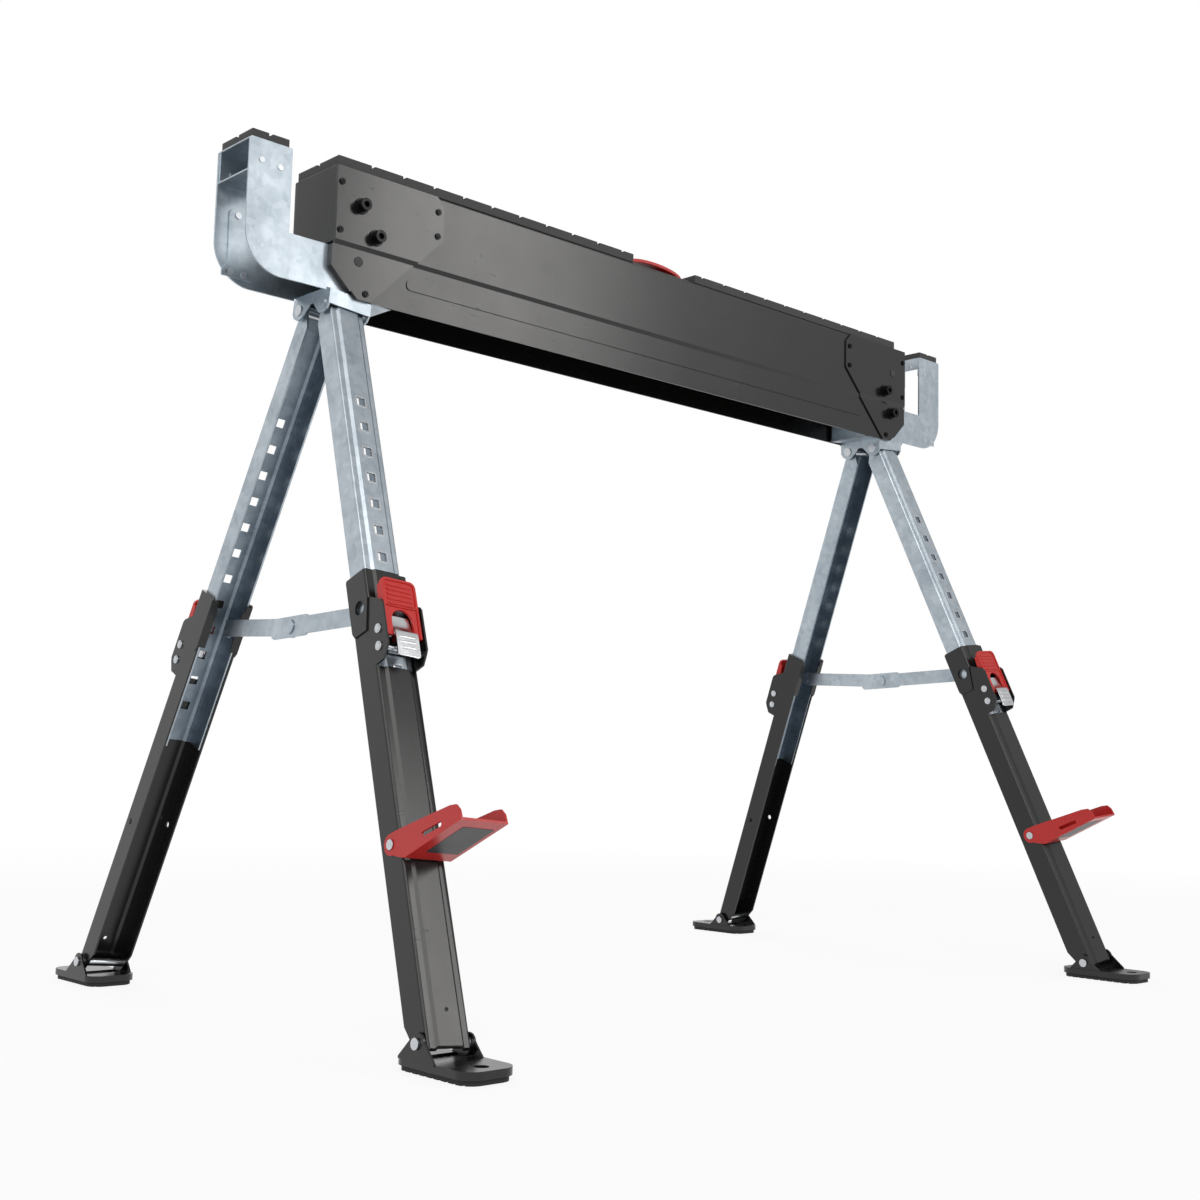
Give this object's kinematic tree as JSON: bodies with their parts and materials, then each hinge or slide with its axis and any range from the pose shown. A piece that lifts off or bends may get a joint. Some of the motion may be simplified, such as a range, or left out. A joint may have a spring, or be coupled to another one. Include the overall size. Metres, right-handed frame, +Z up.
{
  "type": "folding sawhorse",
  "caption": "Builders' trestle: a padded steel beam with board arms on four telescoping, splayed legs with lever latches, spreaders, tilting feet and fold-out board supports.",
  "frame": {"origin": "on the floor under the middle of the beam, legs fully drawn out", "axes": "+X along the beam to the right-hand end, -Y the front with the board supports, +Z up"},
  "size_m": [1.1042, 0.7166, 0.8295],
  "materials": {
    "black_paint": "semi-gloss powder coat",
    "galvanised": "bright zinc with faint spangle",
    "fastener_steel": "bright zinc",
    "black_steel": "black oxide",
    "red_plastic": "moulded",
    "red_paint": "powder coat",
    "pad_plastic": "moulded, fine grain",
    "sole_rubber": "matte"
  },
  "bodies": {
    "beam": {"beam_channel": "black_paint", "end_plates_left": "black_paint", "end_plates_right": "black_paint", "end_caps": "pad_plastic", "top_pad_left": "pad_plastic", "top_pad_right": "pad_plastic", "beam_screws": "black_steel", "end_bolts": "black_steel", "hole_plugs": "pad_plastic"},
    "handle": {"carry_handle": "red_plastic"},
    "end_left": {"end_arm_left": "galvanised", "arm_tray_left": "galvanised", "arm_pad_left": "pad_plastic", "arm_strap_left": "fastener_steel", "leg_saddle_left": "galvanised", "end_rivets_left": "fastener_steel"},
    "end_right": {"end_arm_right": "galvanised", "arm_tray_right": "galvanised", "arm_pad_right": "pad_plastic", "arm_strap_right": "fastener_steel", "leg_saddle_right": "galvanised", "end_rivets_right": "fastener_steel"},
    "upper_left_front": {"upper_leg_left_front": "galvanised"},
    "lower_left_front": {"lower_leg_left_front": "black_paint", "leg_collar_left_front": "galvanised", "leg_pins_left_front": "fastener_steel"},
    "lever_left_front": {"lock_lever_left_front": "red_plastic"},
    "thumb_left_front": {"thumb_lever_left_front": "galvanised"},
    "foot_left_front": {"foot_plate_left_front": "black_paint", "foot_sole_left_front": "sole_rubber"},
    "link_left_front": {"spreader_left_front": "galvanised"},
    "upper_left_back": {"upper_leg_left_back": "galvanised"},
    "lower_left_back": {"lower_leg_left_back": "black_paint", "leg_collar_left_back": "galvanised", "leg_pins_left_back": "fastener_steel"},
    "lever_left_back": {"lock_lever_left_back": "red_plastic"},
    "thumb_left_back": {"thumb_lever_left_back": "galvanised"},
    "foot_left_back": {"foot_plate_left_back": "black_paint", "foot_sole_left_back": "sole_rubber"},
    "link_left_back": {"spreader_left_back": "galvanised"},
    "upper_right_front": {"upper_leg_right_front": "galvanised"},
    "lower_right_front": {"lower_leg_right_front": "black_paint", "leg_collar_right_front": "galvanised", "leg_pins_right_front": "fastener_steel"},
    "lever_right_front": {"lock_lever_right_front": "red_plastic"},
    "thumb_right_front": {"thumb_lever_right_front": "galvanised"},
    "foot_right_front": {"foot_plate_right_front": "black_paint", "foot_sole_right_front": "sole_rubber"},
    "link_right_front": {"spreader_right_front": "galvanised"},
    "upper_right_back": {"upper_leg_right_back": "galvanised"},
    "lower_right_back": {"lower_leg_right_back": "black_paint", "leg_collar_right_back": "galvanised", "leg_pins_right_back": "fastener_steel"},
    "lever_right_back": {"lock_lever_right_back": "red_plastic"},
    "thumb_right_back": {"thumb_lever_right_back": "galvanised"},
    "foot_right_back": {"foot_plate_right_back": "black_paint", "foot_sole_right_back": "sole_rubber"},
    "link_right_back": {"spreader_right_back": "galvanised"},
    "support_left": {"board_support_left": "red_paint"},
    "support_right": {"board_support_right": "red_paint"}
  },
  "joints": [
    {"name": "handle_lift", "type": "slide", "parent": "beam", "child": "handle", "axis": [0, 0, 1], "range_m": [0, 0.015]},
    {"name": "swing_left", "type": "hinge", "parent": "beam", "child": "end_left", "pos_m": [-0.432, 0, 0.777], "axis": [0, 1, 0], "range_deg": [-60, 0]},
    {"name": "swing_right", "type": "hinge", "parent": "beam", "child": "end_right", "pos_m": [0.431, 0, 0.722], "axis": [0, 1, 0], "range_deg": [0, 60]},
    {"name": "splay_left_front", "type": "hinge", "parent": "end_left", "child": "upper_left_front", "pos_m": [-0.4362, -0.0206, 0.6756], "axis": [0.996, 0, -0.0896], "range_deg": [0, 21]},
    {"name": "spread_left_front", "type": "hinge", "parent": "upper_left_front", "child": "link_left_front", "pos_m": [-0.46375, -0.14324, 0.36936], "axis": [0.996, 0, -0.0896], "range_deg": [0, 61.41]},
    {"name": "extend_left_front", "type": "slide", "parent": "upper_left_front", "child": "lower_left_front", "axis": [-0.0827, -0.3845, -0.9194], "range_m": [-0.196, 0]},
    {"name": "lock_left_front", "type": "hinge", "parent": "lower_left_front", "child": "lever_left_front", "pos_m": [-0.46546, -0.17406, 0.35031], "axis": [0.996, 0, -0.0896], "range_deg": [0, 30], "stiffness_Nm_per_rad": 0.4},
    {"name": "release_left_front", "type": "hinge", "parent": "lower_left_front", "child": "thumb_left_front", "pos_m": [-0.46684, -0.1781, 0.33494], "axis": [0.996, 0, -0.0896], "range_deg": [0, 6], "stiffness_Nm_per_rad": 0.6},
    {"name": "ankle_left_front", "type": "hinge", "parent": "lower_left_front", "child": "foot_left_front", "pos_m": [-0.49508, -0.29429, 0.02106], "axis": [0.996, 0, -0.0896], "range_deg": [-25, 25]},
    {"name": "splay_left_back", "type": "hinge", "parent": "end_left", "child": "upper_left_back", "pos_m": [-0.4362, 0.0206, 0.6756], "axis": [0.996, 0, -0.0896], "range_deg": [-21, 0]},
    {"name": "spread_left_back", "type": "hinge", "parent": "upper_left_back", "child": "link_left_back", "pos_m": [-0.46375, 0.14324, 0.36936], "axis": [0.996, 0, -0.0896], "range_deg": [-61.41, 0]},
    {"name": "extend_left_back", "type": "slide", "parent": "upper_left_back", "child": "lower_left_back", "axis": [-0.0827, 0.3845, -0.9194], "range_m": [-0.196, 0]},
    {"name": "lock_left_back", "type": "hinge", "parent": "lower_left_back", "child": "lever_left_back", "pos_m": [-0.46546, 0.17406, 0.35031], "axis": [0.996, 0, -0.0896], "range_deg": [-30, 0], "stiffness_Nm_per_rad": 0.4},
    {"name": "release_left_back", "type": "hinge", "parent": "lower_left_back", "child": "thumb_left_back", "pos_m": [-0.46684, 0.1781, 0.33494], "axis": [0.996, 0, -0.0896], "range_deg": [-6, 0], "stiffness_Nm_per_rad": 0.6},
    {"name": "ankle_left_back", "type": "hinge", "parent": "lower_left_back", "child": "foot_left_back", "pos_m": [-0.49508, 0.29429, 0.02106], "axis": [0.996, 0, -0.0896], "range_deg": [-25, 25]},
    {"name": "splay_right_front", "type": "hinge", "parent": "end_right", "child": "upper_right_front", "pos_m": [0.4362, -0.0206, 0.6756], "axis": [0.996, 0, 0.0896], "range_deg": [0, 21]},
    {"name": "spread_right_front", "type": "hinge", "parent": "upper_right_front", "child": "link_right_front", "pos_m": [0.46375, -0.14324, 0.36936], "axis": [0.996, 0, 0.0896], "range_deg": [0, 61.41]},
    {"name": "extend_right_front", "type": "slide", "parent": "upper_right_front", "child": "lower_right_front", "axis": [0.0827, -0.3845, -0.9194], "range_m": [-0.196, 0]},
    {"name": "lock_right_front", "type": "hinge", "parent": "lower_right_front", "child": "lever_right_front", "pos_m": [0.46546, -0.17406, 0.35031], "axis": [0.996, 0, 0.0896], "range_deg": [0, 30], "stiffness_Nm_per_rad": 0.4},
    {"name": "release_right_front", "type": "hinge", "parent": "lower_right_front", "child": "thumb_right_front", "pos_m": [0.46684, -0.1781, 0.33494], "axis": [0.996, 0, 0.0896], "range_deg": [0, 6], "stiffness_Nm_per_rad": 0.6},
    {"name": "ankle_right_front", "type": "hinge", "parent": "lower_right_front", "child": "foot_right_front", "pos_m": [0.49508, -0.29429, 0.02106], "axis": [0.996, 0, 0.0896], "range_deg": [-25, 25]},
    {"name": "splay_right_back", "type": "hinge", "parent": "end_right", "child": "upper_right_back", "pos_m": [0.4362, 0.0206, 0.6756], "axis": [0.996, 0, 0.0896], "range_deg": [-21, 0]},
    {"name": "spread_right_back", "type": "hinge", "parent": "upper_right_back", "child": "link_right_back", "pos_m": [0.46375, 0.14324, 0.36936], "axis": [0.996, 0, 0.0896], "range_deg": [-61.41, 0]},
    {"name": "extend_right_back", "type": "slide", "parent": "upper_right_back", "child": "lower_right_back", "axis": [0.0827, 0.3845, -0.9194], "range_m": [-0.196, 0]},
    {"name": "lock_right_back", "type": "hinge", "parent": "lower_right_back", "child": "lever_right_back", "pos_m": [0.46546, 0.17406, 0.35031], "axis": [0.996, 0, 0.0896], "range_deg": [-30, 0], "stiffness_Nm_per_rad": 0.4},
    {"name": "release_right_back", "type": "hinge", "parent": "lower_right_back", "child": "thumb_right_back", "pos_m": [0.46684, 0.1781, 0.33494], "axis": [0.996, 0, 0.0896], "range_deg": [-6, 0], "stiffness_Nm_per_rad": 0.6},
    {"name": "ankle_right_back", "type": "hinge", "parent": "lower_right_back", "child": "foot_right_back", "pos_m": [0.49508, 0.29429, 0.02106], "axis": [0.996, 0, 0.0896], "range_deg": [-25, 25]},
    {"name": "support_fold_left", "type": "hinge", "parent": "lower_left_front", "child": "support_left", "pos_m": [-0.48178, -0.22943, 0.16894], "axis": [0.996, 0, -0.0896], "range_deg": [-86, 0]},
    {"name": "support_fold_right", "type": "hinge", "parent": "lower_right_front", "child": "support_right", "pos_m": [0.48178, -0.22943, 0.16894], "axis": [0.996, 0, 0.0896], "range_deg": [-86, 0]}
  ],
  "couplings": [
    {"joint": "splay_left_front", "follows": "swing_left", "ratio": -0.35},
    {"joint": "spread_left_front", "follows": "swing_left", "ratio": -1.0233},
    {"joint": "splay_left_back", "follows": "swing_left", "ratio": 0.35},
    {"joint": "spread_left_back", "follows": "swing_left", "ratio": 1.0233},
    {"joint": "splay_right_front", "follows": "swing_right", "ratio": 0.35},
    {"joint": "spread_right_front", "follows": "swing_right", "ratio": 1.0233},
    {"joint": "splay_right_back", "follows": "swing_right", "ratio": -0.35},
    {"joint": "spread_right_back", "follows": "swing_right", "ratio": -1.0233}
  ]
}
